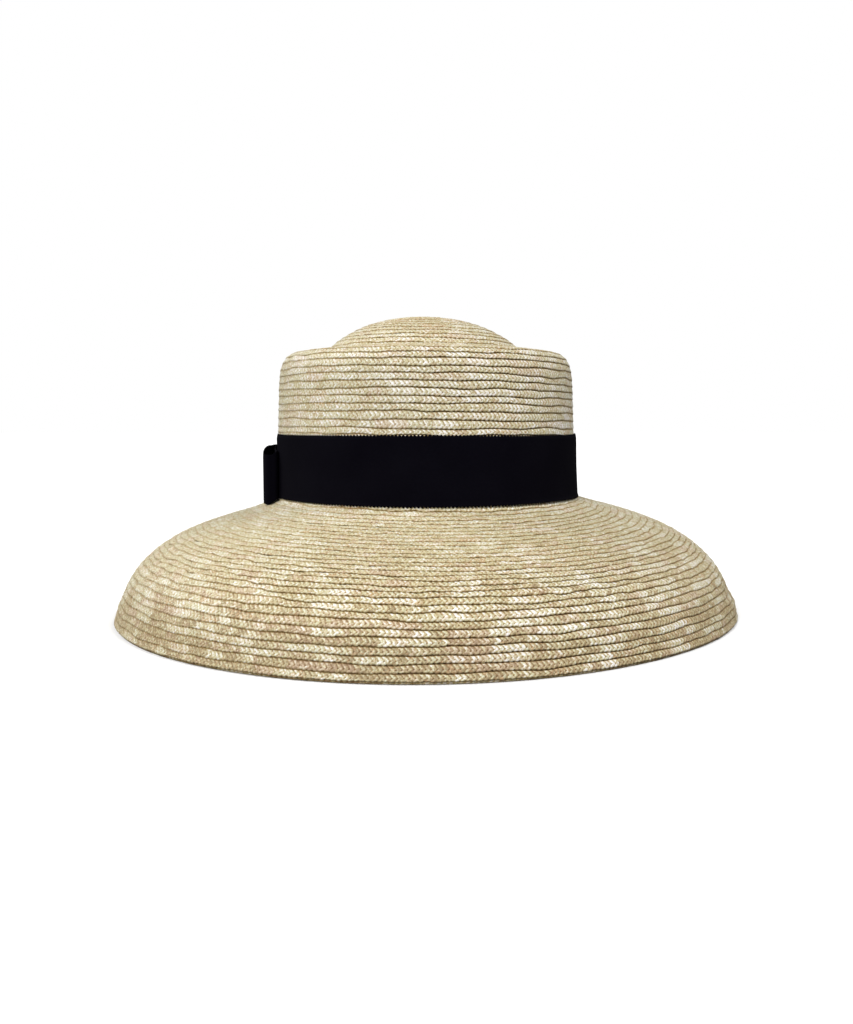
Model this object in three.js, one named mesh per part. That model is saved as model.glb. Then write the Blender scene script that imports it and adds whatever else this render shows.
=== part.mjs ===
// A wide-brimmed straw hat with a ribbon band and a flat side bow.
// Millimetres, +Z up, front towards -Y. The origin is the centre of the rim, on the surface that
// the hat rests on.
import * as THREE from 'three';

// Main sizes.
const HEAD_HALF_WIDTH = 90; // outside of the crown where the brim starts, side to side
const OVAL_EXTRA = 11; // the oval is this much longer from its centre to the front or the back
const STRAW = 2.2; // wall of sewn plait, where one row laps the next
const EDGE_STRAW = 1.6; // the single plait row that doubles the rim from below
const EDGE_WIDTH = 5.5; // height of that row
const RIBBON = 0.7; // ribbon thickness
const TIP_LEAN = 1.6; // the dome sits this far to the left
const GAP = 0.3; // clearance between neighbouring pieces
const SEGMENTS = 64; // facets around the hat

// Outside of the crown, from the middle of the tip down to the seam under the ribbon.
const CROWN_PROFILE = [
  // half width, height
  [0, 178.0],
  [12, 177.3],
  [26, 174.9],
  [37.5, 171.0],
  [47, 166.0],
  [53.5, 161.6],
  [59, 158.6],
  [67, 157.2],
  [76, 156.2],
  [82, 154.6],
  [85.3, 151.4],
  [87.3, 146.2],
  [88.2, 139.0],
  [88.7, 128.0],
  [89.3, 110.0],
  [89.7, 92.0],
  [90, 76.3],
];

// Outside of the brim, from the seam under the ribbon out and down to the rim.
const BRIM_PROFILE = [
  // half width, height
  [90, 76.0],
  [90, 70.6],
  [97.4, 66.9],
  [105.2, 63.9],
  [121.2, 59.1],
  [137, 53.8],
  [152.1, 47.0],
  [165.3, 37.4],
  [171.1, 31.3],
  [175.7, 24.3],
  [179.0, 16.7],
  [181.3, 8.5],
  [183.9, 1.0],
];

// The brim is shaped by hand, so it strays a little from the true oval: one row for each number of lobes.
const BRIM_SWAY = [
  // lobes, then cosine and sine of the lift (mm, greatest a third of the way out),
  // then cosine and sine of the spread (share of the half width, at the rim)
  [1, 1.3, 0.6, -0.001, 0.012],
  [2, 1.3, 1.1, 0.0105, 0.0133],
  [3, 0, 0.3, 0.0075, 0.009],
  [4, 0, 0, 0.0035, 0.003],
];

// Inside face of the ribbon band, which stands off the crown by the gap.
const BAND_PROFILE = [
  // half width, height
  [89.65, 108.1],
  [90.05, 90.0],
  [90.3, 77.0],
  [90.35, 74.0],
  [90.55, 70.95],
];

// The bow lies flat on the left side of the band.
const BOW_ANGLE = THREE.MathUtils.degToRad(174.5); // where the knot sits on the oval, from +X through +Y
const BOW_BOTTOM = 70.4;
const BOW_HEIGHT = 31;
const BAND_HALF_WIDTH = 91; // outside of the band at the bow
const ARC_RADIUS = 100; // mean radius of the oval along the bow
const KNOT_HALF_WIDTH = 7;
const KNOT_DEPTH = 5.6;

// Middle line of a bow loop, from the knot along the band, round the fold and back to the knot.
const LOOP_PATH = [
  // distance from the middle of the knot, distance out from the band
  [7.4, 1.2],
  [20, 1.2],
  [36, 1.2],
  [44, 1.3],
  [49.5, 2.4],
  [52.6, 5.2],
  [51.6, 8.0],
  [47, 9.2],
  [38, 8.9],
  [26, 7.6],
  [14, 5.6],
  [7.4, 4.4],
];

const straw = new THREE.MeshStandardMaterial({ color: 0xc9b487, roughness: 0.75, metalness: 0 });
const edging = new THREE.MeshStandardMaterial({ color: 0xbca87c, roughness: 0.8, metalness: 0 });
const ribbon = new THREE.MeshStandardMaterial({ color: 0x0d0c12, roughness: 0.9, metalness: 0 });

const clamp01 = (value) => Math.min(1, Math.max(0, value));

// How far the oval stands out past the round at a given half width, eased in from the middle of the tip.
function ovalGrowth(halfWidth) {
  return OVAL_EXTRA * Math.sin((clamp01(halfWidth / 85) * Math.PI) / 2);
}

// Share of the way from the head opening to the rim.
function brimShare(halfWidth, height) {
  const [, [startWidth, startHeight]] = BRIM_PROFILE;
  const [endWidth] = BRIM_PROFILE.at(-1);
  return clamp01((halfWidth - startWidth + startHeight - height) / (endWidth - startWidth + startHeight));
}

// The profile moved inwards by a distance, square to itself.
function inset(profile, distance) {
  return profile.map(([x, y], i) => {
    const [x0, y0] = profile[Math.max(0, i - 1)];
    const [x1, y1] = profile[Math.min(profile.length - 1, i + 1)];
    if (x === 0) return [0, y - distance];
    const length = Math.hypot(x1 - x0, y1 - y0);
    return [x + ((y1 - y0) / length) * distance, y - ((x1 - x0) / length) * distance];
  });
}

// Turns a profile into an oval solid; a profile off the axis is closed on itself first.
function ovalSolid(profile, { sway = [], lean = 0 } = {}) {
  const closed = profile[0][0] === 0 ? profile : [...profile, profile[0]];
  const geometry = new THREE.LatheGeometry(
    closed.map(([x, y]) => new THREE.Vector2(x, y)),
    SEGMENTS,
  );
  geometry.rotateX(Math.PI / 2);
  const position = geometry.getAttribute('position');
  for (let i = 0; i < position.count; i++) {
    const [x, y, z] = [position.getX(i), position.getY(i), position.getZ(i)];
    const halfWidth = Math.hypot(x, y);
    const angle = Math.atan2(y, x);
    const stretch = halfWidth > 1e-6 ? 1 + ovalGrowth(halfWidth) / halfWidth : 1;
    const share = brimShare(halfWidth, z);
    const swell = Math.sin(Math.PI * share ** 0.6) * clamp01(z / 10); // the rim itself stays level
    let [lift, spread] = [0, 1];
    for (const [lobes, liftX, liftY, spreadX, spreadY] of sway) {
      const [c, s] = [Math.cos(lobes * angle), Math.sin(lobes * angle)];
      lift += swell * (liftX * c + liftY * s);
      spread += share ** 1.3 * (spreadX * c + spreadY * s);
    }
    const leaning = lean * Math.cos((clamp01(halfWidth / HEAD_HALF_WIDTH) * Math.PI) / 2);
    position.setXYZ(i, x * spread - leaning, y * stretch * spread, z + lift);
  }
  geometry.deleteAttribute('uv');
  geometry.computeVertexNormals();
  return geometry;
}

// A point beside the band: distance along it from the knot, towards the front when positive, then
// distance out from it.
function besideBand([along, out]) {
  const angle = BOW_ANGLE + along / ARC_RADIUS;
  const [a, b] = [BAND_HALF_WIDTH, BAND_HALF_WIDTH + OVAL_EXTRA];
  const normal = new THREE.Vector2(Math.cos(angle) / a, Math.sin(angle) / b).normalize();
  return new THREE.Vector2(a * Math.cos(angle), b * Math.sin(angle)).addScaledVector(normal, out);
}

// An upright strip of ribbon whose middle line follows a path beside the band.
function ribbonStrip(path, turn) {
  const line = path.map(([along, out]) => besideBand([along * turn, out]));
  const side = (sign) =>
    line.map((point, i) => {
      const ahead = line[Math.min(line.length - 1, i + 1)].clone();
      const across = ahead.sub(line[Math.max(0, i - 1)]).normalize();
      return new THREE.Vector2(-across.y, across.x).multiplyScalar((sign * RIBBON) / 2).add(point);
    });
  return upright([...side(turn), ...side(-turn).reverse()]);
}

// An outline in plan, raised to the height of the bow.
function upright(outline) {
  const geometry = new THREE.ExtrudeGeometry(new THREE.Shape(outline), {
    depth: BOW_HEIGHT,
    bevelEnabled: false,
  });
  return geometry.translate(0, 0, BOW_BOTTOM);
}

// The section between an inner and an outer line: out along the inner one and back along the outer one.
const wall = (outer, inner) => [...inner, ...outer.slice().reverse()];

// The doubled row under the rim: it lies along the inside of the last row and ends flat on the surface.
function edgeSection() {
  const [[x0, y0], [x1, y1]] = BRIM_PROFILE.slice(-2);
  const slope = (x1 - x0) / (y0 - y1);
  const at = (height, depth) => [x1 + (y1 - height) * slope - depth * Math.hypot(1, slope), height];
  const face = (depth) => [at(EDGE_WIDTH, depth), at(0, depth)];
  return wall(face(STRAW + GAP), face(STRAW + GAP + EDGE_STRAW));
}

function knotOutline() {
  const w = KNOT_HALF_WIDTH;
  const corners = [
    [-w, 0.8],
    [-w, KNOT_DEPTH - 1.2],
    [-w + 1.2, KNOT_DEPTH],
    [0, KNOT_DEPTH + 0.4],
    [w - 1.2, KNOT_DEPTH],
    [w, KNOT_DEPTH - 1.2],
    [w, 0.8],
  ];
  return corners.map(besideBand);
}

const hat = new THREE.Group();
function addPiece(name, geometry, material) {
  const mesh = new THREE.Mesh(geometry, material);
  mesh.name = name;
  hat.add(mesh);
}

addPiece('crown', ovalSolid(wall(CROWN_PROFILE, inset(CROWN_PROFILE, STRAW)), { lean: TIP_LEAN }), straw);
addPiece('brim', ovalSolid(wall(BRIM_PROFILE, inset(BRIM_PROFILE, STRAW)), { sway: BRIM_SWAY }), straw);
addPiece('edge_braid', ovalSolid(edgeSection(), { sway: BRIM_SWAY }), edging);
addPiece('hat_band', ovalSolid(wall(inset(BAND_PROFILE, -RIBBON), BAND_PROFILE)), ribbon);
addPiece('bow_loop_front', ribbonStrip(LOOP_PATH, 1), ribbon);
addPiece('bow_loop_back', ribbonStrip(LOOP_PATH, -1), ribbon);
addPiece('bow_knot', upright(knotOutline()), ribbon);

export default hat;
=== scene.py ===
import math

import bpy
import numpy as np
from bpy.props import FloatProperty, FloatVectorProperty, IntProperty, PointerProperty
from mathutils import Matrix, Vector


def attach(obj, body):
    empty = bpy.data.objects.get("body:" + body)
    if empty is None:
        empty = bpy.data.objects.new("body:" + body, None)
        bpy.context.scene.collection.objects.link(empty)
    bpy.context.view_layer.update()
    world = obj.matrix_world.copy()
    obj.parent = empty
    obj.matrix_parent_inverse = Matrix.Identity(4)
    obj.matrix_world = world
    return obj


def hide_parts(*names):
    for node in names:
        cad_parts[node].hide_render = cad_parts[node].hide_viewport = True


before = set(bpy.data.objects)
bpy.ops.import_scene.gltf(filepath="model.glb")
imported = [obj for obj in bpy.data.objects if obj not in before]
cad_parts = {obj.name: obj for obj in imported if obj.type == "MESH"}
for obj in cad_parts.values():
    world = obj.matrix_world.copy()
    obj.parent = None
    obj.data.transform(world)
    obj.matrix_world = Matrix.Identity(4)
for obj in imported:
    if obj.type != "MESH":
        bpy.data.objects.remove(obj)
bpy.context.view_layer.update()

bl_info = {
    "name": "Wide Straw Hat",
    "version": (1, 0, 0),
    "blender": (4, 5, 0),
    "location": "View3D > Sidebar > Straw Hat",
    "description": "Builds a sewn straw plait hat with a ribbon band and a side bow",
    "category": "Add Mesh",
}

MM = 0.001

# ---------------------------------------------------------------- sizes, in millimetres

OVAL_EXTRA = 11.0  # the oval is this much longer from its centre to the front or the back
OVAL_GROWN = 85.0  # half width from which the oval is that much longer; nearer the middle it is rounder
OVAL_GIRTH = 30.0  # the oval is about this much longer all round than a circle of its half width
TIP_LEAN = 2.1  # the dome sits this far to the left
CROWN_LEAN, LEAN_START, LEAN_RISE = 0.7, 66.0, 20.0  # and the crown: how far, from and over what height
HEAD_HALF_WIDTH = 90.0
BRIM_START = (90.0, 70.6)  # half width and height where the brim leaves the crown
RIM_HALF_WIDTH = 183.9

# Outside of the hat from the middle of the tip to the rim: half width, height.
HAT_PROFILE = [
    (0, 178.0), (12, 177.4), (26, 175.1), (38, 171.2), (48, 166.0), (54.6, 161.4),
    (57.4, 158.8), (60.3, 157.6), (67, 156.8), (76, 155.9), (82, 154.6), (85.3, 151.4),
    (87.3, 146.2), (88.2, 139.0), (88.7, 128.0), (89.3, 110.0), (89.7, 92.0), (90, 76.3),
    (90, 70.6), (97.4, 66.9), (105.2, 63.9), (121.2, 59.1), (137, 53.8), (152.1, 47.0),
    (165.3, 37.4), (171.1, 31.3), (175.7, 24.3), (179.0, 16.7), (181.3, 8.5), (183.9, 1.0),
    (184.25, 0.0),
]

# How the hand-shaped brim strays from the true oval: lobes, cosine and sine of the lift (mm, greatest
# a third of the way out), cosine and sine of the spread (share of the half width, at the rim).
BRIM_SWAY = [
    (1, 1.3, 0.6, -0.001, 0.012),
    (2, 1.3, 1.1, 0.0105, 0.0133),
    (3, 0.0, 0.3, 0.0075, 0.009),
    (4, 0.0, 0.0, 0.0035, 0.003),
]
# Where the last rows kick out: bearing and reach in degrees, distance out where it is greatest.
RIM_KICKS = [(2, 34, 2.3), (184, 30, 1.3)]
KICK_START, KICK_TOP = 281.0, 289.0  # along the profile (mm): a kick grows from the first to the second
KICK_LOSS = 0.45  # share of a kick that is gone again at the edge

# The rows of plait lap a little more in some places than in others: row, distance (mm) of the seam
# above it along the profile at the middle of the front.
ROW_SEAMS = [
    (0, 0), (11, 49), (20, 87), (28, 119), (31, 131.5), (42, 174.5), (44, 183.5), (47, 195.5),
    (55, 231), (62, 256.5), (68, 281.5), (72, 297.3),
]
ROWS, EDGE = ROW_SEAMS[-1]
TURN_STEP = 0.002  # how finely the run of the plait is measured
STRAYS = [(45.0, 0.36), (21.0, 0.55), (11.0, 0.32)]  # how far apart and how far (mm) a seam strays
WANDER = np.random.default_rng(11).uniform(-1, 1, 4096)
LEVEL_ROWS, LEVELLING_ROWS = 9, 5  # the last rows come level, over this many rows
BACK_STEP, BACK_STEP_LENGTH = 0.42, 0.16  # turns past the front where a levelled row steps down
SHOULDER_ROW, HIDDEN_ROW, BRIM_ROW = 19.5, 33.6, 40.2  # rows where one group of rows hands over to the next
ROW_WIDTH, PLAIT_WIDTH = 3.5, 6.0  # of a row as far as it shows, and of the plait with its lap (mm)
# Where the rows are sewn snug, so that the gaps between them are shallow and their painted shade lighter:
# bearing, reach, share; row, share; and where the straws are ironed flat, with less relief, less painted
# shade and less painted highlight: row, share. These also lighten the painted shade where the light falls
# more squarely: on the left and right sides, the dome and the upper brim.
SNUG_LIGHTER_SHADE = [(196, 64, 0.82), (350, 42, 0.6)]
SNUG_LIGHTER_SHADE_ROWS = [(0.9, 1.0), (1.1, 0.0), (40, 0.0), (44, 0.2), (50, 0.15), (58, 0.0)]
IRONED_LIGHTER_SHADE_ROWS = [(0, 0.5), (12, 0.5), (15, 0.0), (40, 0.3), (44, 0.8), (51, 0.7), (60, 0.1), (64, 0.0)]
# Straw tone against height: darker towards the rim, partly the real browning of the lowest rows by handling
# and partly painted shade on the lower brim, which gets less light; the crown is palest.
TONE_DRIFT = [
    (0, -0.38), (16, -0.30), (30, -0.14), (50, -0.11), (64, -0.04), (80, -0.01), (95, 0.0),
    (150, 0.03), (158, -0.03),
]
# Bleached straws come in patches about this large (mm); below a height the straws vary more.
PATCH_SIZE, PATCH_SEED = np.array([15.0, 15.0, 7.0]), 10
VARIED_HEIGHT, VARIED_FADE = 45.0, 20.0
SLANT = 0.75  # how far the middle of a straw runs ahead of its ends, in plait lengths
CROSSING = (0.45, 0.6)  # part of a row where its upper and lower straws cross, as shares of the row
HOLE_DEPTH, PINCHED_DEPTH = 0.34, 1.4  # of the hole at a crossing, and of a row squeezed to nothing (mm)
# Measures of a row and of a straw in the straws' own map, and how far apart it keeps the lower straws.
LAY_WIDTH, LAY_LENGTH, LAY_APART = 5.6, 2.0, 5.0

RING_POINTS = 4001  # how finely a ring is measured
# Inside face of the ribbon band: half width, height.
BAND_PROFILE = [(90.55, 70.95), (90.35, 74.0), (90.3, 77.0), (90.05, 90.0), (89.65, 108.1)]
BAND_HALF_WIDTH = 90.9  # the band's length is measured here
RIBBON_FACE = 0.62  # how far the band's face stands out from its inside
SELVEDGE_LOOP = 2.0  # the selvedges are woven in tiny loops, this far apart
BOW_ANGLE = math.radians(174.5)
BOW_BOTTOM, BOW_TOP = 70.4, 101.4
BOW_BAND_HALF_WIDTH, BOW_ARC_RADIUS = 91.0, 100.0  # of the band's outside under the bow
KNOT_REACH = 6.8  # half the width of the knot, along the band
# Path of a loop, which stands upright: distance along the band from the bow's middle, and out from it.
LOOP_PATH = [
    (7.4, 1.2), (20, 1.0), (34, 0.8), (39.3, 0.7), (42.2, 0.9), (43.2, 1.9), (43.5, 4.4), (43.1, 7.2),
    (39.8, 8.4), (34, 8.1), (25, 7.2), (14, 5.5), (7.4, 4.4),
]
# Path of the knot round the bow's middle: distance out from the band, height.
KNOT_PATH = [
    (0.9, 86.0), (0.85, 78.0), (1.0, 72.0), (1.6, 70.7), (3.2, 70.5), (5.2, 71.0), (6.1, 73.0),
    (6.3, 80.0), (6.35, 86.0), (6.3, 93.0), (6.0, 98.6), (5.0, 100.7), (3.2, 101.3),
    (1.6, 101.0), (1.0, 99.6), (0.85, 94.0), (0.9, 87.0),
]

# ---------------------------------------------------------------- stage

FLOOR_REACH = 12.0  # from the middle to each side (m)
CAMERA_PLACE = (-0.0003, -0.64004, 0.1139)  # in metres
CAMERA_TILT = 0.084  # how far it looks down, in radians
SENSOR, LENS = 36.0, 36.6219  # in millimetres
ROOM_LIGHT = 0.2
LIGHTS = [
    # name, bearing and height in degrees, strength, softness in degrees
    ("front softbox", -110, 32, 0.91, 25),
    ("right softbox", -16, 50, 0.59, 30),
    ("back softbox", 165, 38, 0.49, 30),
]


def clamp(value):
    return np.clip(value, 0.0, 1.0)


def ease(value):
    value = clamp(value)
    return value * value * (3 - 2 * value)


def soft_noise(points, size, seed):
    """Smooth random values from 0 to 1 that change over a given distance in mm."""
    table = np.random.default_rng(seed).random((16, 16, 16))
    cell = np.asarray(points) / size
    corner = np.floor(cell).astype(int)
    inside = ease(cell - corner)
    value = 0.0
    for step in np.ndindex(2, 2, 2):
        weight = np.prod(np.where(step, inside, 1 - inside), axis=-1)
        value = value + weight * table[tuple(((corner + step) % 16).T)]
    return value


def smooth_line(points, step=0.25):
    """Points every step along a smooth line through a short table, and their distances along it."""
    p = np.array(points, float)
    d = np.r_[0, np.cumsum(np.hypot(*np.diff(p, axis=0).T))]
    slope = np.gradient(p, d, axis=0)
    at = np.append(np.arange(0, d[-1], step), d[-1])
    i = np.clip(np.searchsorted(d, at, side="right") - 1, 0, len(d) - 2)
    h = (d[i + 1] - d[i])[:, None]
    u = (at - d[i])[:, None] / h
    line = (
        (2 * u**3 - 3 * u**2 + 1) * p[i]
        + (u**3 - 2 * u**2 + u) * h * slope[i]
        + (3 * u**2 - 2 * u**3) * p[i + 1]
        + (u**3 - u**2) * h * slope[i + 1]
    )
    return line, np.r_[0, np.cumsum(np.hypot(*np.diff(line, axis=0).T))]


def add_up(points):
    """Distance along a line of points to each of them."""
    return np.r_[0, np.cumsum(np.linalg.norm(np.diff(points, axis=0), axis=1))]


LINE, ALONG = smooth_line(HAT_PROFILE)
WAY = np.gradient(LINE, ALONG, axis=0)
NORMAL = np.stack([-WAY[:, 1], WAY[:, 0]], 1) / np.hypot(*WAY.T)[:, None]


def near_angle(angle, middle, reach):
    """1 at a bearing in degrees, fading out over the reach on both sides of it."""
    away = (np.degrees(angle) - middle + 180) % 360 - 180
    return np.exp(-((away / reach) ** 2))


def on_hat(along, angle, out):
    """Points of the hat in mm: along the profile, around the oval, and out from the surface."""
    width = np.interp(along, ALONG, LINE[:, 0]) + out * np.interp(along, ALONG, NORMAL[:, 0])
    height = np.interp(along, ALONG, LINE[:, 1]) + out * np.interp(along, ALONG, NORMAL[:, 1])
    width = np.maximum(width, 0)
    growth = OVAL_EXTRA * np.sin(clamp(width / OVAL_GROWN) * np.pi / 2)
    start, top = BRIM_START
    share = clamp((width - start + top - height) / (RIM_HALF_WIDTH - start + top))
    # The lift fades out over the last 10 mm above the floor, so that the rim stays level.
    swell = np.sin(np.pi * share**0.6) * clamp(height / 10)
    lift, spread = 0.0, 1.0
    for lobes, lift_x, lift_y, spread_x, spread_y in BRIM_SWAY:
        c, s = np.cos(lobes * angle), np.sin(lobes * angle)
        lift = lift + swell * (lift_x * c + lift_y * s)
        spread = spread + share**1.3 * (spread_x * c + spread_y * s)
    rise = KICK_TOP - KICK_START
    kick = ease((along - KICK_START) / rise) * (1 - KICK_LOSS * ease((along - KICK_TOP) / rise))
    for middle, reach, distance in RIM_KICKS:
        spread = spread + near_angle(angle, middle, reach) * kick * distance / RIM_HALF_WIDTH
    lean = TIP_LEAN * np.cos(clamp(width / HEAD_HALF_WIDTH) * np.pi / 2)
    lean = lean + CROWN_LEAN * ease((height - LEAN_START) / LEAN_RISE)
    x = width * np.cos(angle) * spread - lean
    y = (width + growth) * np.sin(angle) * spread
    return np.stack([x, y, height + lift], -1)


def turn_angle(turn):
    """Angle of a turn of the plait; whole turns pass the middle of the front."""
    return -np.pi / 2 + 2 * np.pi * turn


def seam(turn):
    """Distance along the profile of the seam above a turn. The plait is sewn in one long spiral, and
    near the rim its rows run level and each steps down at the back."""
    step = turn - BACK_STEP
    level = np.floor(step) + ease((step - np.floor(step)) / BACK_STEP_LENGTH)
    held = clamp((turn - (ROWS - LEVEL_ROWS)) / LEVELLING_ROWS)
    row = (1 - held) * turn + held * level
    place = np.interp(row, *np.array(ROW_SEAMS).T)
    strays = 0.0
    for length, amount in STRAYS:
        # The plait wanders under the needle over a few lengths; each wander is the same number of
        # millimetres long in a short turn and in a long one.
        girth = 2 * np.pi * np.interp(place, ALONG, LINE[:, 0]) + OVAL_GIRTH
        at = turn * girth / length
        cell = np.floor(at)
        blend = ease(at - cell)
        first, second = (WANDER[(cell + k).astype(int) % len(WANDER)] for k in (0, 1))
        strays = strays + amount * ((1 - blend) * first + blend * second)
    place = place + strays * clamp(row / 3) * clamp(ROWS - row)
    return np.clip(place, 0, EDGE)


LAST_TURN = ROWS - 1 + BACK_STEP + BACK_STEP_LENGTH


def plait_run():
    """Turns of the spiral and the length of plait used up to each."""
    turns = np.arange(0, LAST_TURN, TURN_STEP)
    middle = (seam(turns) + seam(turns + 1)) / 2
    return turns, add_up(on_hat(middle, turn_angle(turns), 0.0))


TURNS, LENGTHS = plait_run()


# ---------------------------------------------------------------- meshes


def make_mesh(name, points, quads):
    """A smooth mesh object from points in mm and rows of four corners, riding on the one body."""
    mesh = bpy.data.meshes.new(name)
    mesh.vertices.add(len(points))
    mesh.vertices.foreach_set("co", (np.asarray(points) * MM).astype(np.float32).ravel())
    mesh.loops.add(4 * len(quads))
    mesh.loops.foreach_set("vertex_index", np.asarray(quads, np.int32).ravel())
    mesh.polygons.add(len(quads))
    mesh.polygons.foreach_set("loop_start", np.arange(0, 4 * len(quads), 4, dtype=np.int32))
    mesh.polygons.foreach_set("use_smooth", np.full(len(quads), True))
    mesh.update(calc_edges=True)
    piece = bpy.data.objects.new(name, mesh)
    bpy.context.scene.collection.objects.link(piece)
    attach(piece, "root")
    return piece


def strip_quads(columns, rows, closed_columns=False, closed_rows=False, flip=False):
    """Corners of the quads between neighbouring columns and rows of a grid of points."""
    i = np.arange(columns if closed_columns else columns - 1)[:, None]
    j = np.arange(rows if closed_rows else rows - 1)[None, :]
    i, j = [a.ravel() for a in np.broadcast_arrays(i, j)]
    here, ahead = i * rows, (i + 1) % columns * rows
    below = (j + 1) % rows
    corners = np.stack([here + j, here + below, ahead + below, ahead + j], 1)
    return corners[:, ::-1] if flip else corners


def set_layout(piece, quads, length, across, width):
    """Lays a long strip out in stacked lines on the texture map, so that its scale is even."""
    margin = 0.04  # share of a line that stays free on each side of the strip
    lines = max(1, int(math.ceil(math.sqrt(length.max() / width))))
    # A line is a little longer than its share, so that the last point still falls in the last line.
    line_length = (length.max() - length.min()) / lines * 1.0001 + 1e-6
    at = length[quads] - length.min()
    line = np.floor(at.min(axis=1, keepdims=True) / line_length)
    u = (at - line * line_length) / line_length
    v = (line + margin + (1 - 2 * margin) * across[quads]) / lines
    layer = piece.data.uv_layers.new(name="OFBake")
    uv = np.stack([clamp(u * 0.998 + 0.001), clamp(v)], -1)
    layer.uv.foreach_set("vector", uv.astype(np.float32).ravel())


def set_straw(piece, colours, lay):
    """Gives each point its straw (tone, painted shade, freedom from ironing and hue) and its place in the
    straws' own map."""
    attributes = piece.data.attributes
    layer = attributes.new("straw", "FLOAT_COLOR", "POINT")
    layer.data.foreach_set("color", colours.astype(np.float32).ravel())
    layer = attributes.new("lay", "FLOAT_VECTOR", "POINT")
    layer.data.foreach_set("vector", lay.astype(np.float32).ravel())


# The outer face of one row of plait, from under the row above to under its own lower edge: place across the
# row, out (mm), relief of the straws (mm), scallop (share of the row), shade. The shade is painted shade,
# darkest in the gap between two rows.
OUTER_FACE = [
    (-0.10, -1.25, 0.00, 0.00, 0.00),
    (0.06, -0.80, 0.08, 0.00, 0.03),
    (0.15, -0.27, 0.28, 0.00, 0.92),
    (0.54, -0.08, 0.14, 0.00, 0.98),
    (0.80, 0.10, 0.10, 0.00, 0.94),
    (0.945, 0.00, 0.12, 0.05, 0.80),
    (0.985, -0.85, 0.05, 0.06, 0.05),
]
# The inner face of one row, from its upper edge, which laps over the row above, downwards. Its shade is
# painted shade, darkest where the rows lap.
INNER_FACE = [
    (-0.20, -1.30, 0.0, 0.0, 0.30),
    (-0.16, -2.10, 0.0, 0.03, 0.85),
    (0.25, -2.20, 0.0, 0.0, 1.00),
    (0.62, -1.95, 0.0, 0.0, 1.00),
    (0.84, -1.60, 0.0, 0.0, 0.45),
]
# The straws over one plait length: valley, rise, crest and fall. The shade is painted shade, darkest in the
# valley between straws, and the glint is a painted highlight.
STRAW_RELIEF = [-1.0, 0.9, 0.35, 0.5]
STRAW_SCALLOP = [-1.0, 0.1, 0.5, 0.1]
STRAW_SHADE = [0.56, 1.0, 0.96, 0.80]
STRAW_PAINTED_GLINT = [-0.20, 0.40, 0.12, -0.18]  # painted highlight: the rising side of the upper straws is lighter in tone, as if it caught the light


def straw_runs(count, rng, middle, spread, shortest=3, longest=8):
    """A value for each crossing that holds while one straw shows, for a few crossings in a row."""
    return np.repeat(rng.normal(middle, spread, count), rng.integers(shortest, longest, count))[:count]


def straw_tones(centres, rng):
    """The usual tone at each crossing of a row, and tone and hue of its upper and lower straws. Straws
    from the same part of the stalk come together, so the bleached ones show in patches over a few rows."""
    count = len(centres)
    # The usual tone follows the height: darker towards the rim, partly as painted shade.
    usual = 0.5 + np.interp(centres[:, 2], *np.array(TONE_DRIFT).T)
    patch = 0.2 + 0.6 * soft_noise(centres, PATCH_SIZE, PATCH_SEED) + rng.normal(0, 0.05, count)
    low = ease((VARIED_HEIGHT - centres[:, 2]) / VARIED_FADE)
    bleached = patch + straw_runs(count, rng, 0, 0.21, 2, 7) + 0.05 * low
    bleached = ease((bleached - 0.58) / 0.14)
    hue = straw_runs(count, rng, 0.5, 0.2)
    halves = []
    for _ in range(2):
        tone = usual + straw_runs(count, rng, 0, 0.06, 2, 7)
        tone = tone + rng.normal(0, 1, count) * (0.09 + 0.09 * low)
        tone = tone + bleached * (0.90 - tone) * rng.uniform(0.4, 1.0, count)
        halves.append((clamp(tone), clamp(hue + rng.normal(0, 0.14, count))))
    return usual, halves


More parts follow.
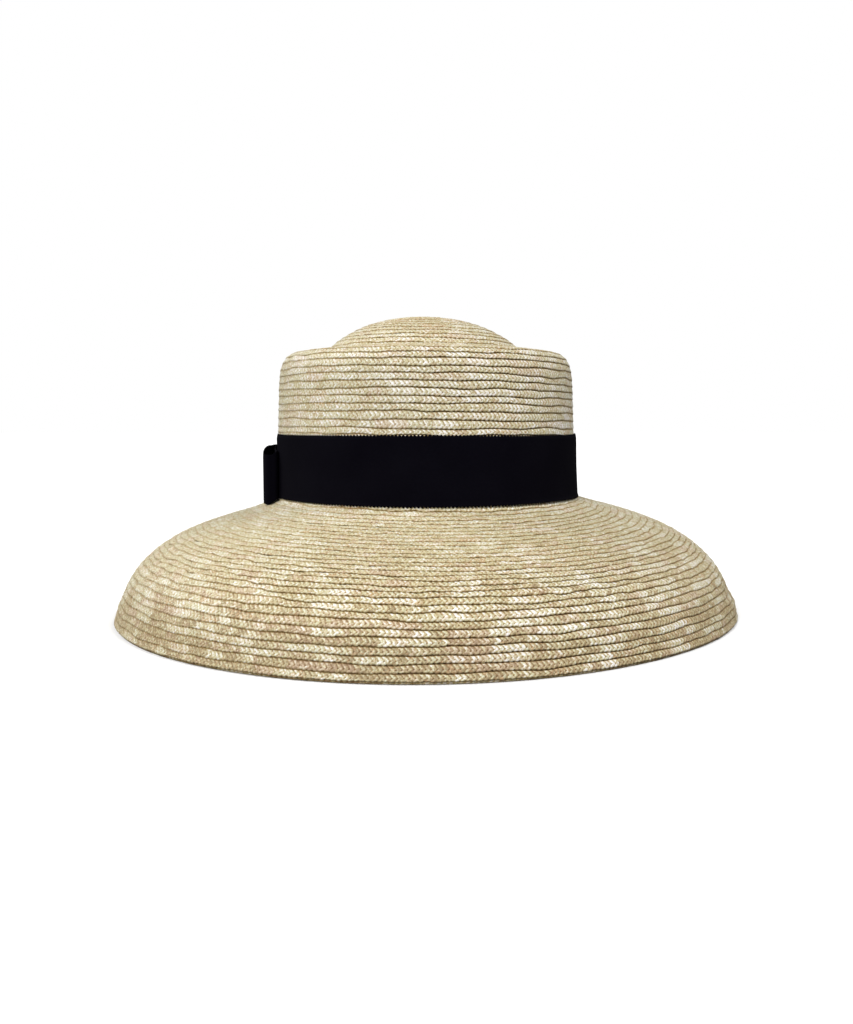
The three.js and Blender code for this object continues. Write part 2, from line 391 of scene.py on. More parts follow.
def plait_piece(name, first_turn, last_turn, settings, face=OUTER_FACE, columns=4, inside=False):
    """A stretch of the sewn spiral as a raised strip, with so many columns of points to a straw. On
    the outer face every straw of the plait is in relief; inside, only the rows are."""
    rng = np.random.default_rng(settings.seed)
    plait = settings.plait_length / MM
    count = int(LENGTHS[-1] / plait) + 8  # a few more than the run needs
    centre_turns = np.interp((np.arange(count) + 0.5) * plait, LENGTHS, TURNS)
    centre_line = (seam(centre_turns) + seam(centre_turns + 1)) / 2
    usual, (upper, lower) = straw_tones(on_hat(centre_line, turn_angle(centre_turns), 0.0), rng)
    jitter = rng.normal(0, 1, (2, count))
    first, last = (int(np.interp(turn, TURNS, LENGTHS) / plait) for turn in (first_turn, last_turn))
    place = first + np.arange(math.ceil((last - first) * columns) + 1) / columns
    unit = np.minimum(place.astype(int), count - 1)
    phase = (place % 1 * 4).astype(int)
    relief, scallop, dim, painted_glint = [
        np.array(t)[phase] for t in (STRAW_RELIEF, STRAW_SCALLOP, STRAW_SHADE, STRAW_PAINTED_GLINT)
    ]
    points, colours, lay = [], [], []
    for across, out, raised, scalloped, shade in face:
        upper_side = across < CROSSING[0]
        crossing = CROSSING[0] < across < CROSSING[1]
        ahead = SLANT * (1 - abs(2 * min(max(across, 0), 1) - 1))
        turn = np.interp((place + ahead) * plait, LENGTHS, TURNS)
        angle = turn_angle(turn)
        # How loose the gap is deepens it and darkens its painted shade; how free the straws are of ironing
        # keeps their relief, tone, painted shade and painted highlight. Both are lower where the light falls
        # more squarely.
        loose_and_shaded = 1 - np.interp(turn, *np.array(SNUG_LIGHTER_SHADE_ROWS).T)
        free = 1 - np.interp(turn, *np.array(IRONED_LIGHTER_SHADE_ROWS).T)
        for bearing, reach, share in SNUG_LIGHTER_SHADE:
            eased = 1 - share * near_angle(angle, bearing, reach)
            loose_and_shaded, free = loose_and_shaded * eased, free * eased
        raised = raised * (0.3 + 0.7 * free)
        if shade < 0.5 and not inside:
            # In the gap between two rows, whose dark colour is painted shade. A snug one is shallower and its
            # painted shade lighter.
            out, shade = out * loose_and_shaded, shade + (0.85 - shade) * (1 - loose_and_shaded)
        above, below = seam(turn), seam(turn + 1)
        along = above + (below - above) * (across + scalloped * scallop * settings.scallops)
        if across < 0:
            # No row lies above the first turn, so its upper edge closes the middle of the dome.
            along = along * clamp(turn - 1)
        along = along + 0.10 * jitter[1, unit] * (scalloped > 0)
        high = out + raised * relief * settings.relief + 0.05 * jitter[0, unit] * (raised > 0)
        hole = HOLE_DEPTH * (phase == 0) * (crossing and not inside)
        if not inside:
            full = clamp((below - above) / ROW_WIDTH)
            high = high * full - (1 - full) * PINCHED_DEPTH - hole
        points.append(on_hat(np.clip(along, 0, ALONG[-1]), angle, high))
        tone, hue = (a[unit] for a in (upper if upper_side else lower))
        if crossing:
            tone, hue = (0.5 * (a[unit] + b[unit]) for a, b in zip(upper, lower))
        tone = usual[unit] + (tone - usual[unit]) * (0.4 + 0.6 * free)
        # The hole at a crossing is darkened as painted shade, besides being sunk.
        shades = shade * np.where(hole > 0, 0.8, 1.0)
        if inside:
            spot = (across, place, 0.0)
        else:
            # Painted highlight on the rising side of the upper straws, and painted shade in the valleys
            # between straws.
            tone = clamp(tone + painted_glint * free * (1.0 if upper_side else 0.2))
            shades = shades * (1 + (dim - 1) * free * (1.0 if upper_side else 0.6))
            spot = (across * LAY_WIDTH, place * LAY_LENGTH, 0.0 if across < 0.5 else LAY_APART)
        colours.append(np.stack([tone, shades, free, hue], -1))
        lay.append(np.stack(np.broadcast_arrays(*spot), -1))
    points, colours, lay = (np.stack(a, 1) for a in (points, colours, lay))
    rows = len(face)
    quads = strip_quads(len(place), rows, flip=inside)
    piece = make_mesh(name, points.reshape(-1, 3), quads)
    set_straw(piece, colours.reshape(-1, 4), lay.reshape(-1, 3))
    length = np.repeat(place * plait, rows)
    across = np.tile(np.arange(rows) / (rows - 1), len(place))
    set_layout(piece, quads, length, across, PLAIT_WIDTH)
    return piece


# Section of the row doubled under the rim: distance past the edge, out, relief (mm), painted shade, darkest
# where the row tucks under the last one.
RIM_SECTION = [
    (-5.4, -1.35, 0.05, 0.5),
    (-2.6, -1.25, 0.10, 0.6),
    (0.15, -1.15, 0.14, 0.7),
    (0.72, -1.62, -0.10, 0.8),
    (0.30, -2.45, -0.14, 0.9),
    (-2.6, -2.95, -0.20, 1.0),
    (-5.0, -2.75, -0.14, 0.9),
    (-5.6, -2.05, -0.05, 0.6),
]
RIM_MIDDLE, RIM_REACH = -2.6, 3.2  # middle of that row, and how far the slant of its straws goes
RIM_OUT = -1.8  # the row's length is measured this far out
RIM_LAY_APART = 9.0  # its place in the straws' own map
FLOOR_GAP = 0.12  # the lowest that its points lie


def rim_row(name, settings):
    """The row doubled under the rim, as a closed ring of plait that shows below the last row."""
    rng = np.random.default_rng(settings.seed + 1)
    angles = np.linspace(0, 2 * np.pi, RING_POINTS)
    lengths = add_up(on_hat(np.full(RING_POINTS, EDGE), angles, RIM_OUT))
    count = int(round(lengths[-1] / (settings.plait_length / MM)))
    place = np.arange(count * 4) / 4
    phase = np.arange(count * 4) % 4
    unit = np.arange(count * 4) // 4
    relief, dim = np.array(STRAW_RELIEF)[phase], np.array(STRAW_SHADE)[phase]
    centres = on_hat(np.full(count, EDGE), np.linspace(0, 2 * np.pi, count), 0.0)
    _, ((tones, hues), _) = straw_tones(centres, rng)
    points, colours, lay = [], [], []
    for along, out, raised, shade in RIM_SECTION:
        ahead = SLANT * (1 - abs(along - RIM_MIDDLE) / RIM_REACH)
        angle = np.interp((place + ahead) / count * lengths[-1] % lengths[-1], lengths, angles)
        scallop = 0.12 * relief * (abs(along) < 1)
        points.append(on_hat(EDGE + along + scallop, angle, out + raised * relief))
        # Its colour carries painted shade: darker in the valleys between straws and where the row tucks
        # under.
        colours.append(np.stack(np.broadcast_arrays(tones[unit], shade * dim, 1.0, hues[unit]), -1))
        lay.append(np.stack(np.broadcast_arrays(along, place * LAY_LENGTH, RIM_LAY_APART), -1))
    points, colours, lay = (np.stack(a, 1) for a in (points, colours, lay))
    points[..., 2] = np.maximum(points[..., 2], FLOOR_GAP)
    quads = strip_quads(len(place), len(RIM_SECTION), closed_columns=True, closed_rows=True)
    piece = make_mesh(name, points.reshape(-1, 3), quads)
    set_straw(piece, colours.reshape(-1, 4), lay.reshape(-1, 3))
    return piece


def around_band(width, angle):
    return np.stack([width * np.cos(angle), (width + OVAL_EXTRA) * np.sin(angle)], -1)


def beside_band(along, out):
    """A point beside the band: along it from the bow's middle, towards the front when positive, and out."""
    angle = BOW_ANGLE + along / BOW_ARC_RADIUS
    a, b = BOW_BAND_HALF_WIDTH, BOW_BAND_HALF_WIDTH + OVAL_EXTRA
    normal = np.stack([np.cos(angle) / a, np.sin(angle) / b], -1)
    normal /= np.linalg.norm(normal, axis=-1, keepdims=True)
    return np.stack([a * np.cos(angle), b * np.sin(angle)], -1) + normal * out[..., None]


# Section of the ribbon: share of its width from the lower edge, depth under the face (mm),
# share of the rib relief. The selvedges are a close, flat border without ribs.
RIBBON_SECTION = [
    (0.000, 0.22, 0.0),
    (0.008, 0.02, 0.3),
    (0.024, -0.02, 0.3),
    (0.040, 0.05, 0.2),
    (0.060, 0.00, 1.0),
    (0.500, 0.00, 1.0),
    (0.940, 0.00, 1.0),
    (0.960, 0.05, 0.2),
    (0.976, -0.02, 0.3),
    (0.992, 0.02, 0.3),
    (1.000, 0.22, 0.0),
    (0.990, 0.45, 0.0),
    (0.500, 0.45, -0.6),
    (0.010, 0.45, 0.0),
]
RIB_SHAPE = [-1.0, 1.0]
# Section of the knot: share of its half width from the middle, depth under the face (mm), ribs.
KNOT_SECTION = [
    (-1, 0.22, 0), (-0.96, 0, 0.3), (-0.9, -0.04, 0.3), (-0.8, 0, 1), (-0.4, -0.05, 1), (0, 0.1, 1),
    (0.4, -0.05, 1), (0.8, 0, 1), (0.9, -0.04, 0.3), (0.96, 0, 0.3), (1, 0.22, 0), (0.96, 0.4, 0),
    (0, 0.5, 0), (-0.96, 0.4, 0),
]


def ribs(columns, settings):
    """Height of the ribs (mm) at each column of points along a ribbon."""
    return np.array(RIB_SHAPE)[np.arange(columns) % len(RIB_SHAPE)] * settings.rib_relief / MM


def band_piece(name, settings):
    """The ribbon round the foot of the crown, with its ribs standing upright."""
    angles = np.linspace(0, 2 * np.pi, RING_POINTS)
    length = add_up(around_band(BAND_HALF_WIDTH, angles))
    columns = int(round(length[-1] / (settings.rib_spacing / MM))) * len(RIB_SHAPE)
    around = np.arange(columns) / columns
    angle = np.interp(around * length[-1], length, angles)
    rib = ribs(columns, settings)
    teeth = 0.45 * np.cos(2 * np.pi * around * round(length[-1] / SELVEDGE_LOOP))
    widths, heights = np.array(BAND_PROFILE).T
    bottom, top = heights[0], heights[-1]
    points = []
    slack = 0.10 * np.sin(5 * angle + 1) + 0.06 * np.sin(11 * angle)
    for share, depth, ribbed in RIBBON_SECTION:
        z = bottom + (top - bottom) * share + 0.25 * np.sin(3 * angle + 0.5) * (share - 0.5)
        drawn_in = 0.35 * ease((share - 0.95) / 0.05)
        width = np.interp(z, heights, widths) + RIBBON_FACE - depth + rib * ribbed + slack - drawn_in
        # On the right the lower edge stands off the straw, and on the left the upper half does.
        width = width + 1.2 * near_angle(angle, 2, 26) * clamp(1 - share / 0.12)
        width = width + 0.8 * near_angle(angle, 180, 40) * clamp((share - 0.4) / 0.5)
        z = z + teeth * np.sign(share - 0.5) * clamp((abs(2 * share - 1) - 0.95) * 20)
        points.append(np.concatenate([around_band(width, angle), z[:, None]], 1))
    points = np.stack(points, 1)
    quads = strip_quads(columns, len(RIBBON_SECTION), closed_columns=True, closed_rows=True, flip=True)
    return make_mesh(name, points.reshape(-1, 3), quads), length[-1] * MM


def strip_ends(columns, rows, flip):
    """Corners of the quads that close both ends of a strip with a closed section."""
    caps = []
    for start, turned in ((0, flip), ((columns - 1) * rows, not flip)):
        for k in range(rows // 2 - 1):
            cap = [start + k, start + k + 1, start + rows - 2 - k, start + rows - 1 - k]
            caps.append(cap[::-1] if turned else cap)
    return np.array(caps)


def loop_bottom(along, out):
    """Height of a loop's lower edge: the outer half droops towards the nose."""
    return BOW_BOTTOM + 0.1 - 3.1 * ease((along - 12) / 33) * clamp((out - 1.2) / 5)


def loop_top(along, out):
    """Height of a loop's upper edge, which sinks towards the nose, most of all outside."""
    return BOW_TOP - 0.2 - 4.9 * ease((along - 12) / 33) * (0.55 + 0.45 * clamp((out - 1.2) / 3))


def loop_piece(name, settings, turn):
    """A loop of the bow, as a thin closed sheet standing upright beside the band. Turn is 1 for a
    loop towards the front and -1 towards the back."""
    line, length = smooth_line(LOOP_PATH, 0.05)
    columns = int(length[-1] / (settings.rib_spacing / MM)) * len(RIB_SHAPE) + 1
    at = np.linspace(0, length[-1], columns)
    along, out = (np.interp(at, length, line[:, k]) for k in (0, 1))
    middle = beside_band(along * turn, out)
    way = np.gradient(middle, axis=0)
    side = np.stack([-way[:, 1], way[:, 0]], 1) / np.linalg.norm(way, axis=1)[:, None] * turn
    rib = ribs(columns, settings)
    bottom, top = loop_bottom(along, out), loop_top(along, out)
    points = []
    for share, depth, ribbed in RIBBON_SECTION:
        height = (0.22 - depth + rib * ribbed)[:, None]
        z = bottom + (top - bottom) * share
        points.append(np.concatenate([middle + side * height, z[:, None]], 1))
    points = np.stack(points, 1)
    rows = len(RIBBON_SECTION)
    quads = strip_quads(columns, rows, closed_rows=True, flip=turn > 0)
    quads = np.concatenate([quads, strip_ends(columns, rows, flip=turn > 0)])
    return make_mesh(name, points.reshape(-1, 3), quads), length[-1] * MM


def knot_piece(name, settings):
    """The short ribbon wrapped once round the middle of the bow, with soft pleats along it."""
    line, length = smooth_line(KNOT_PATH, 0.1)
    columns = int(length[-1] / (settings.rib_spacing / MM)) * len(RIB_SHAPE) + 1
    at = np.linspace(0, length[-1], columns)
    out, z = (np.interp(at, length, line[:, k]) for k in (0, 1))
    way = np.gradient(np.stack([out, z], 1), axis=0)
    way /= np.linalg.norm(way, axis=1)[:, None]
    rib = ribs(columns, settings)
    points = []
    for across, depth, ribbed in KNOT_SECTION:
        pleat = 0.22 * np.cos(across * 9) * (abs(across) < 0.95)
        height = 0.2 - depth + rib * ribbed + pleat * clamp((out - 2) / 3)
        place = beside_band(np.full(columns, across * KNOT_REACH), out + way[:, 1] * height)
        points.append(np.concatenate([place, (z - way[:, 0] * height)[:, None]], 1))
    points = np.stack(points, 1)
    rows = len(KNOT_SECTION)
    quads = strip_quads(columns, rows, closed_rows=True)
    quads = np.concatenate([quads, strip_ends(columns, rows, flip=True)])
    return make_mesh(name, points.reshape(-1, 3), quads), length[-1] * MM


# ---------------------------------------------------------------- materials


def linear(code):
    """An sRGB hex colour as linear red, green, blue and alpha."""
    values = [int(code[k : k + 2], 16) / 255 for k in (1, 3, 5)]
    return tuple(v / 12.92 if v <= 0.04045 else ((v + 0.055) / 1.055) ** 2.4 for v in values) + (1.0,)


def add_node(tree, kind, inputs=None, **settings):
    """Adds a node, with its settings, and values or links for its inputs."""
    node = tree.nodes.new(kind)
    for key, value in settings.items():
        setattr(node, key, value)
    for key, value in (inputs or {}).items():
        if isinstance(value, bpy.types.NodeSocket):
            tree.links.new(value, node.inputs[key])
        else:
            node.inputs[key].default_value = value
    return node


def set_stops(ramp, stops):
    """Gives a colour ramp its stops: position, colour."""
    bands = ramp.color_ramp.elements
    while len(bands) < len(stops):
        bands.new(0.5)
    for band, (at, colour) in zip(bands, stops):
        band.position, band.color = at, tuple(colour)


def new_material(name):
    """An empty material with one Principled shader."""
    material = bpy.data.materials.new(name)
    material.use_nodes = True
    tree = material.node_tree
    tree.nodes.clear()
    shader = add_node(tree, "ShaderNodeBsdfPrincipled")
    add_node(tree, "ShaderNodeOutputMaterial", {"Surface": shader.outputs[0]})
    return material, tree, shader


def straw_material(name, settings, inside=False):
    """Wheat straw, split, flattened and plaited: pale gold with bleached and tanned straws, a satin face with
    fine grain along each straw, and painted shade in the gaps where the straws cross and between the rows."""
    material, tree, shader = new_material(name)
    straw = add_node(tree, "ShaderNodeAttribute", attribute_name="straw")
    tone, shade, free = add_node(tree, "ShaderNodeSeparateColor", {0: straw.outputs["Color"]}).outputs
    lay = add_node(tree, "ShaderNodeAttribute", attribute_name="lay").outputs["Vector"]
    # Grain runs along the straw, about 0.6 mm across it and 4 mm along it. Real grain is half as wide.
    scale = (1.2, 6.0, 1.0) if inside else (0.25, 2.3, 1.0)
    grain_at = add_node(tree, "ShaderNodeMapping", {"Vector": lay, "Scale": scale}).outputs[0]
    grain = add_node(tree, "ShaderNodeTexNoise", {"Vector": grain_at, "Scale": 1.0, "Detail": 2.0})
    grain = grain.outputs["Fac"]
    # Sun and handling have toned the straw in soft patches about 40 mm wide.
    place = add_node(tree, "ShaderNodeTexCoord").outputs["Object"]
    patches = add_node(tree, "ShaderNodeTexNoise", {"Vector": place, "Scale": 1 / (40 * MM), "Detail": 1.0})
    # Flecks of the stalk's skin, about 1 mm wide, differ in colour and lightness.
    flecks = add_node(tree, "ShaderNodeTexNoise", {"Vector": place, "Scale": 1 / (1.0 * MM), "Detail": 2.0})
    fleck = add_node(tree, "ShaderNodeSeparateColor", {0: flecks.outputs["Color"]}).outputs
    # How much each adds to the tone; all three are 0.5 on average, which leaves the tone as it was.
    grained, flecked, patched = 0.5, 2.2, 0.08
    centred = -(grained + flecked + patched) / 2
    varied = add_node(tree, "ShaderNodeMath", {0: grain, 1: grained, 2: centred}, operation="MULTIPLY_ADD")
    for fac, share in ((fleck[0], flecked), (patches.outputs["Fac"], patched)):
        sockets = {0: fac, 1: share, 2: varied.outputs[0]}
        varied = add_node(tree, "ShaderNodeMath", sockets, operation="MULTIPLY_ADD")
    toned = add_node(tree, "ShaderNodeMath", {0: tone, 1: varied.outputs[0]}, use_clamp=True)
    ramp = add_node(tree, "ShaderNodeValToRGB", {0: toned.outputs[0]})
    set_stops(ramp, [
        (0.0, settings.straw_brown), (0.28, settings.straw_tan), (0.52, settings.straw_gold),
        (0.76, settings.straw_pale), (1.0, settings.straw_white),
    ])
    # Straws ripen pinkish, cream, olive, grey-green or orange.
    hued = add_node(tree, "ShaderNodeMath", {0: fleck[1], 1: 1.8, 2: -0.9}, operation="MULTIPLY_ADD")
    sockets = {0: straw.outputs["Alpha"], 1: hued.outputs[0]}
    ripened = add_node(tree, "ShaderNodeMath", sockets, use_clamp=True)
    hue = add_node(tree, "ShaderNodeValToRGB", {0: ripened.outputs[0]})
    set_stops(hue, [
        (0.0, linear("#FFF5EB")), (0.24, linear("#FFFAEC")), (0.52, linear("#FDFEDC")),
        (0.76, linear("#F4FDF0")), (1.0, linear("#FFEED1")),
    ])
    # Bleaching takes the colour out as well: from this tone to that, from all of it to this share.
    sockets = {0: toned.outputs[0], 1: 0.55, 2: 0.85, 3: 1.0, 4: 0.15}
    unbleached = add_node(tree, "ShaderNodeMapRange", sockets)
    tinted = add_node(
        tree, "ShaderNodeMix", {0: unbleached.outputs[0], 6: ramp.outputs[0], 7: hue.outputs[0]},
        data_type="RGBA", blend_type="MULTIPLY",
    )
    across, along, _ = add_node(tree, "ShaderNodeSeparateXYZ", {0: lay}).outputs
    height, depth = grain, 0.06
    if inside:
        # Each straw slants to the middle of the row and back, one every plait length.
        sockets = {0: across, 1: 2.0, 2: -0.7}
        centred = add_node(tree, "ShaderNodeMath", sockets, operation="MULTIPLY_ADD")
        off = add_node(tree, "ShaderNodeMath", {0: centred.outputs[0]}, operation="ABSOLUTE")
        sockets = {0: off.outputs[0], 1: SLANT, 2: along}
        slanted = add_node(tree, "ShaderNodeMath", sockets, operation="MULTIPLY_ADD")
        straws = add_node(tree, "ShaderNodeMath", {0: slanted.outputs[0]}, operation="FRACT")
        turned = add_node(tree, "ShaderNodeMath", {0: straws.outputs[0], 1: math.pi}, operation="MULTIPLY")
        wave = add_node(tree, "ShaderNodeMath", {0: turned.outputs[0]}, operation="SINE")
        ridge = add_node(tree, "ShaderNodeMath", {0: wave.outputs[0], 1: 0.45}, operation="POWER").outputs[0]
        # Between the straws the colour is darkened as painted shade.
        dimmed = add_node(tree, "ShaderNodeMath", {0: ridge, 1: 0.45, 2: 0.55}, operation="MULTIPLY_ADD")
        gap = dimmed.outputs[0]
        raised = add_node(tree, "ShaderNodeMath", {0: grain, 1: 0.15, 2: ridge}, operation="MULTIPLY_ADD")
        height, depth = raised.outputs[0], 0.35
    else:
        # A hole 0.8 mm wide is left where the straws cross below the middle of the row, and darkened as
        # painted shade.
        beside = add_node(tree, "ShaderNodeMath", {0: along, 1: 1.0}, operation="PINGPONG")
        aside = add_node(tree, "ShaderNodeMath", {0: beside.outputs[0], 1: 1.3}, operation="MULTIPLY")
        below = add_node(tree, "ShaderNodeMath", {0: across, 1: 0.73, 2: -2.4}, operation="MULTIPLY_ADD")
        sockets = {0: below.outputs[0], 1: 0.5, 2: aside.outputs[0]}
        leaning = add_node(tree, "ShaderNodeMath", sockets, operation="MULTIPLY_ADD")
        away = add_node(tree, "ShaderNodeCombineXYZ", {0: leaning.outputs[0], 1: below.outputs[0]})
        distance = add_node(tree, "ShaderNodeVectorMath", {0: away.outputs[0]}, operation="LENGTH")
        sockets = {0: distance.outputs["Value"], 1: 0.2, 2: 0.5, 3: 0.12, 4: 1.0}
        holed = add_node(tree, "ShaderNodeMapRange", sockets)
        # Where the row is ironed flat the holes are closed and their painted shade goes.
        gap = add_node(tree, "ShaderNodeMix", {0: free, 2: 0.97, 3: holed.outputs[0]}).outputs[0]
    shade = add_node(tree, "ShaderNodeMath", {0: shade, 1: gap}, operation="MULTIPLY").outputs[0]
    # Painted shade: where the shade is low the colour is darkened towards brown, as light that finds its way
    # between the straws comes back browner and browner.
    painted_shade_colour = add_node(tree, "ShaderNodeValToRGB", {0: shade})
    set_stops(painted_shade_colour, [(0.0, linear("#4A2C0A")), (0.5, linear("#CBB486")), (1.0, linear("#FFFFFF"))])
    coloured = add_node(
        tree, "ShaderNodeMix", {0: 1.0, 6: tinted.outputs[2], 7: painted_shade_colour.outputs[0]},
        data_type="RGBA", blend_type="MULTIPLY",
    )
    # The bleached straws are glossier; the grain breaks the shine a little.
    glossed = add_node(tree, "ShaderNodeMath", {0: tone, 1: -0.35, 2: 0.66}, operation="MULTIPLY_ADD")
    sockets = {0: grain, 1: 0.12, 2: glossed.outputs[0]}
    rough = add_node(tree, "ShaderNodeMath", sockets, operation="MULTIPLY_ADD", use_clamp=True)
    bump = add_node(tree, "ShaderNodeBump", {"Height": height, "Distance": depth * MM, "Strength": 0.8})
    tree.links.new(coloured.outputs[2], shader.inputs["Base Color"])
    tree.links.new(rough.outputs[0], shader.inputs["Roughness"])
    tree.links.new(bump.outputs[0], shader.inputs["Normal"])
    shader.inputs["IOR"].default_value = 1.52
    return material


def ribbon_material(name, settings):
    """Rayon grosgrain, dyed blue-black: a matte face that swallows light, thick ribs across the
    ribbon and a close weave of fine threads over them."""
    material, tree, shader = new_material(name)
    place = add_node(tree, "ShaderNodeTexCoord").outputs["Object"]
    # Threads about 0.35 mm apart run along the ribbon, over the ribs.
    scale = (1 / MM, 1 / MM, 1 / (0.35 * MM))
    weave_at = add_node(tree, "ShaderNodeMapping", {"Vector": place, "Scale": scale}).outputs[0]
    weave = add_node(tree, "ShaderNodeTexNoise", {"Vector": weave_at, "Scale": 1.0, "Detail": 1.0})
    weave = weave.outputs["Fac"]
    # Wear shows in patches about 25 mm wide.
    wear = add_node(tree, "ShaderNodeTexNoise", {"Vector": place, "Scale": 1 / (25 * MM), "Detail": 2.0})
    worn = add_node(tree, "ShaderNodeMath", {0: wear.outputs["Fac"], 1: 0.4}, operation="MULTIPLY")
    mixed = add_node(tree, "ShaderNodeMath", {0: weave, 1: 0.6, 2: worn.outputs[0]}, operation="MULTIPLY_ADD")
    # Where the weave sinks the threads are darker, partly their own colour and partly painted shade in the
    # hollows.
    ramp = add_node(tree, "ShaderNodeValToRGB", {0: mixed.outputs[0]})
    set_stops(ramp, [(0.3, settings.ribbon_dark), (0.72, settings.ribbon_light)])
    sockets = {0: weave, 1: 0.15, 2: 0.78}
    rough = add_node(tree, "ShaderNodeMath", sockets, operation="MULTIPLY_ADD", use_clamp=True)
    bump = add_node(tree, "ShaderNodeBump", {"Height": weave, "Distance": 0.05 * MM, "Strength": 0.6})
    tree.links.new(ramp.outputs[0], shader.inputs["Base Color"])
    tree.links.new(rough.outputs[0], shader.inputs["Roughness"])
    tree.links.new(bump.outputs[0], shader.inputs["Normal"])
    shader.inputs["Specular IOR Level"].default_value = 0.03
    return material


def paper_material(name):
    """Matt white background paper: even and pale, with a very faint mottle."""
    material, tree, shader = new_material(name)
    place = add_node(tree, "ShaderNodeTexCoord").outputs["Object"]
    mottle = add_node(tree, "ShaderNodeTexNoise", {"Vector": place, "Scale": 30.0, "Detail": 2.0})
    ramp = add_node(tree, "ShaderNodeValToRGB", {0: mottle.outputs["Fac"]})
    set_stops(ramp, [(0.3, linear("#F7F7F7")), (0.7, linear("#FAFAFA"))])
    tree.links.new(ramp.outputs[0], shader.inputs["Base Color"])
    shader.inputs["Roughness"].default_value = 0.9
    shader.inputs["Specular IOR Level"].default_value = 0.2
    return material


def finish_piece(piece, material, node):
    """Gives a piece its material and hides the CAD part that it stands for. Pieces with the same material
    share it; it is given by its name, its function and what that needs."""
    name, build, *details = material
    piece.data.materials.append(bpy.data.materials.get(name) or build(name, *details))
    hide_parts(node)


# ---------------------------------------------------------------- the add-on


def colour_setting(name, description, code):
    """A colour among the settings, with an sRGB hex code as its usual value."""
    return FloatVectorProperty(
        name=name, description=description, subtype="COLOR", size=4, default=linear(code)
    )


class StrawHatSettings(bpy.types.PropertyGroup):
    """Sizes and colours of the hat."""

    seed: IntProperty(name="Seed", description="Which straws fall where", default=7, min=0)
    plait_length: FloatProperty(
        name="Plait length", description="Distance from one crossing of the straws to the next",
        default=2.6 * MM, min=1.0 * MM, unit="LENGTH", precision=5,
    )
    relief: FloatProperty(
        name="Straw relief", description="How far the straws stand proud, against the usual height",
        default=1.0, min=0, subtype="FACTOR",
    )
    scallops: FloatProperty(
        name="Scallops", description="How deep the lower edge of each row is scalloped",
        default=1.0, min=0, subtype="FACTOR",
    )
    rib_spacing: FloatProperty(
        name="Rib spacing", description="Distance between the ribs of the grosgrain",
        default=0.85 * MM, min=0.3 * MM, unit="LENGTH", precision=5,
    )
    rib_relief: FloatProperty(
        name="Rib relief", description="Half the height of a rib of the grosgrain",
        default=0.06 * MM, min=0, unit="LENGTH", precision=5,
    )
    straw_brown: colour_setting("Brown straw", "Darkest straws", "#998771")
    straw_tan: colour_setting("Tan straw", "Tanned straws", "#BBAC97")
    straw_gold: colour_setting("Gold straw", "Most of the straws", "#CAC5B5")
    straw_pale: colour_setting("Pale straw", "Lighter straws", "#D9D7D0")
    straw_white: colour_setting("Bleached straw", "Palest, glossiest straws", "#EFEFF4")
    ribbon_dark: colour_setting("Ribbon, dark", "Hollows of the ribbon", "#030207")
    ribbon_light: colour_setting("Ribbon, light", "Raised threads of the ribbon", "#09080F")


STRAW = ("Plaited wheat straw", straw_material)
STRAW_INSIDE = ("Plaited wheat straw, inside", straw_material)
GROSGRAIN = ("Black rayon grosgrain", ribbon_material)


class STRAWHAT_OT_crown(bpy.types.Operator):
    """Sews the dome, the shoulder and the side of the crown from the plait"""

    bl_idname = "strawhat.crown"
    bl_label = "Crown"

    def execute(self, context):
        s = context.scene.straw_hat
        tip = plait_piece("straw_dome", 0, SHOULDER_ROW, s)
        side = plait_piece("straw_crown_side", SHOULDER_ROW, HIDDEN_ROW, s)
        foot = plait_piece("straw_crown_foot", HIDDEN_ROW, BRIM_ROW, s, face=OUTER_FACE[::2], columns=1)
        for piece in (tip, side, foot):
            finish_piece(piece, STRAW + (s,), "crown")
        return {"FINISHED"}


class STRAWHAT_OT_brim(bpy.types.Operator):
    """Sews the bell-shaped brim, in four groups of rows down to the rim"""

    bl_idname = "strawhat.brim"
    bl_label = "Brim"

    def execute(self, context):
        s = context.scene.straw_hat
        first, last = (np.interp(t, TURNS, LENGTHS) for t in (BRIM_ROW, LAST_TURN))
        ends = np.interp(np.linspace(first, last, 5), LENGTHS, TURNS)
        for name, start, end in zip(("upper", "middle", "lower", "edge"), ends, ends[1:]):
            piece = plait_piece(f"straw_brim_{name}", start, end, s)
            finish_piece(piece, STRAW + (s,), "brim")
        return {"FINISHED"}


class STRAWHAT_OT_inside(bpy.types.Operator):
    """Lays the inner faces of the crown and the brim"""

    bl_idname = "strawhat.inside"
    bl_label = "Inside"

    def execute(self, context):
        s = context.scene.straw_hat
        for name, start, end, node in (
            ("straw_crown_inside", 0, BRIM_ROW, "crown"),
            ("straw_brim_underside", BRIM_ROW, LAST_TURN, "brim"),
        ):
            piece = plait_piece(name, start, end, s, face=INNER_FACE, columns=0.5, inside=True)
            finish_piece(piece, STRAW_INSIDE + (s, True), node)
        return {"FINISHED"}


class STRAWHAT_OT_rim_row(bpy.types.Operator):
    """Adds the row of plait that doubles the rim from below"""

    bl_idname = "strawhat.rim_row"
    bl_label = "Rim row"

    def execute(self, context):
        s = context.scene.straw_hat
        finish_piece(rim_row("straw_rim_row", s), STRAW + (s,), "edge_braid")
        return {"FINISHED"}


class STRAWHAT_OT_band(bpy.types.Operator):
    """Wraps the ribbon band round the foot of the crown"""

    bl_idname = "strawhat.band"
    bl_label = "Ribbon band"

    def execute(self, context):
        s = context.scene.straw_hat
        band, length = band_piece("ribbon_band", s)
        finish_piece(band, GROSGRAIN + (s,), "hat_band")
        return {"FINISHED"}


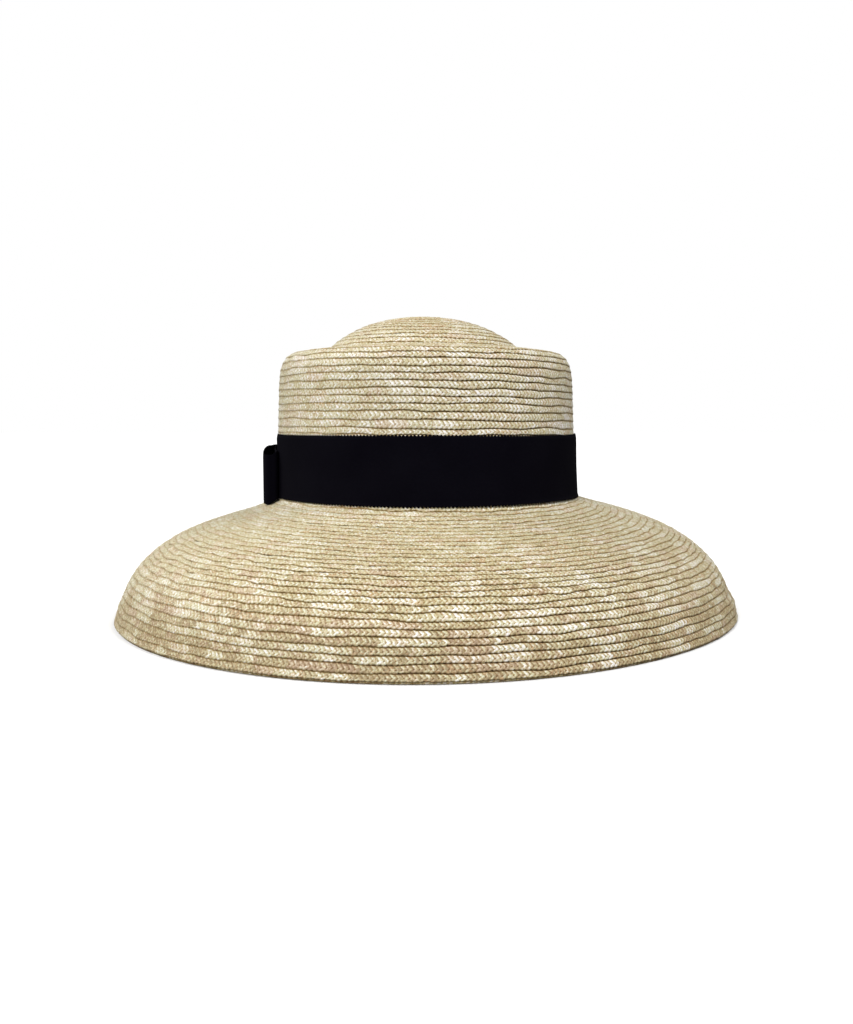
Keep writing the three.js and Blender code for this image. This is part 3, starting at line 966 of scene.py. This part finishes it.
class STRAWHAT_OT_bow(bpy.types.Operator):
    """Folds the flat side bow: two loops and the piece wrapped round their middle"""

    bl_idname = "strawhat.bow"
    bl_label = "Bow"

    def execute(self, context):
        s = context.scene.straw_hat
        for name, node, turn in (
            ("ribbon_loop_front", "bow_loop_front", 1),
            ("ribbon_loop_back", "bow_loop_back", -1),
        ):
            loop, length = loop_piece(name, s, turn)
            finish_piece(loop, GROSGRAIN + (s,), node)
        knot, length = knot_piece("ribbon_knot", s)
        finish_piece(knot, GROSGRAIN + (s,), "bow_knot")
        return {"FINISHED"}


class STRAWHAT_OT_stage(bpy.types.Operator):
    """Sets the pale floor, the soft studio lights and the camera"""

    bl_idname = "strawhat.stage"
    bl_label = "Stage"

    def execute(self, context):
        scene = context.scene
        mesh = bpy.data.meshes.new("paper_floor")
        signs = [(-1, -1), (1, -1), (1, 1), (-1, 1)]
        corners = [(x * FLOOR_REACH, y * FLOOR_REACH, 0) for x, y in signs]
        mesh.from_pydata(corners, [], [(0, 1, 2, 3)])
        floor = bpy.data.objects.new("paper_floor", mesh)
        scene.collection.objects.link(floor)
        floor.data.materials.append(paper_material("White background paper"))
        # The table is small and the room is dark beyond it, so the paper throws little light back up.
        floor.visible_diffuse = floor.visible_glossy = False
        # The room behind is white, and the dimmer walls around only lift the shadows a little.
        world = bpy.data.worlds.new("White studio")
        world.use_nodes = True
        tree = world.node_tree
        seen = add_node(tree, "ShaderNodeLightPath").outputs["Is Camera Ray"]
        walls = add_node(tree, "ShaderNodeMath", {0: seen, 1: ROOM_LIGHT}, operation="MAXIMUM")
        tree.links.new(walls.outputs[0], tree.nodes["Background"].inputs["Strength"])
        tree.nodes["Background"].inputs["Color"].default_value = (1, 1, 1, 1)
        scene.world = world
        for name, bearing, height, strength, softness in LIGHTS:
            light = bpy.data.lights.new(name, "SUN")
            light.energy, light.angle = strength * math.pi, math.radians(softness)
            lamp = bpy.data.objects.new(name, light)
            a, e = math.radians(bearing), math.radians(height)
            toward = Vector((math.cos(a) * math.cos(e), math.sin(a) * math.cos(e), math.sin(e)))
            lamp.rotation_euler = toward.to_track_quat("Z", "Y").to_euler()
            scene.collection.objects.link(lamp)
        camera = bpy.data.objects.new("camera", bpy.data.cameras.new("camera"))
        camera.data.sensor_width, camera.data.lens = SENSOR, LENS
        camera.data.clip_start, camera.data.clip_end = 0.05, 50.0
        camera.location = CAMERA_PLACE
        camera.rotation_euler = (math.pi / 2 - CAMERA_TILT, 0, 0)
        scene.collection.objects.link(camera)
        scene.camera = camera
        scene.view_settings.view_transform = "Standard"
        return {"FINISHED"}


class STRAWHAT_PT_panel(bpy.types.Panel):
    """Lists the hat's settings and its operators."""

    bl_label = "Straw Hat"
    bl_idname = "STRAWHAT_PT_panel"
    bl_space_type = "VIEW_3D"
    bl_region_type = "UI"
    bl_category = "Straw Hat"

    def draw(self, context):
        settings = context.scene.straw_hat
        for name in settings.__annotations__:
            self.layout.prop(settings, name)
        for operator in OPERATORS:
            self.layout.operator(operator.bl_idname)


OPERATORS = (
    STRAWHAT_OT_stage,
    STRAWHAT_OT_crown,
    STRAWHAT_OT_brim,
    STRAWHAT_OT_inside,
    STRAWHAT_OT_rim_row,
    STRAWHAT_OT_band,
    STRAWHAT_OT_bow,
)
CLASSES = (StrawHatSettings, *OPERATORS, STRAWHAT_PT_panel)


def register():
    for cls in CLASSES:
        bpy.utils.register_class(cls)
    bpy.types.Scene.straw_hat = PointerProperty(type=StrawHatSettings)


def unregister():
    del bpy.types.Scene.straw_hat
    for cls in reversed(CLASSES):
        bpy.utils.unregister_class(cls)


def main():
    """Builds the whole hat and its stage."""
    register()
    bpy.ops.strawhat.stage()
    bpy.ops.strawhat.crown()
    bpy.ops.strawhat.brim()
    bpy.ops.strawhat.inside()
    bpy.ops.strawhat.rim_row()
    bpy.ops.strawhat.band()
    bpy.ops.strawhat.bow()


if __name__ == "__main__":
    main()
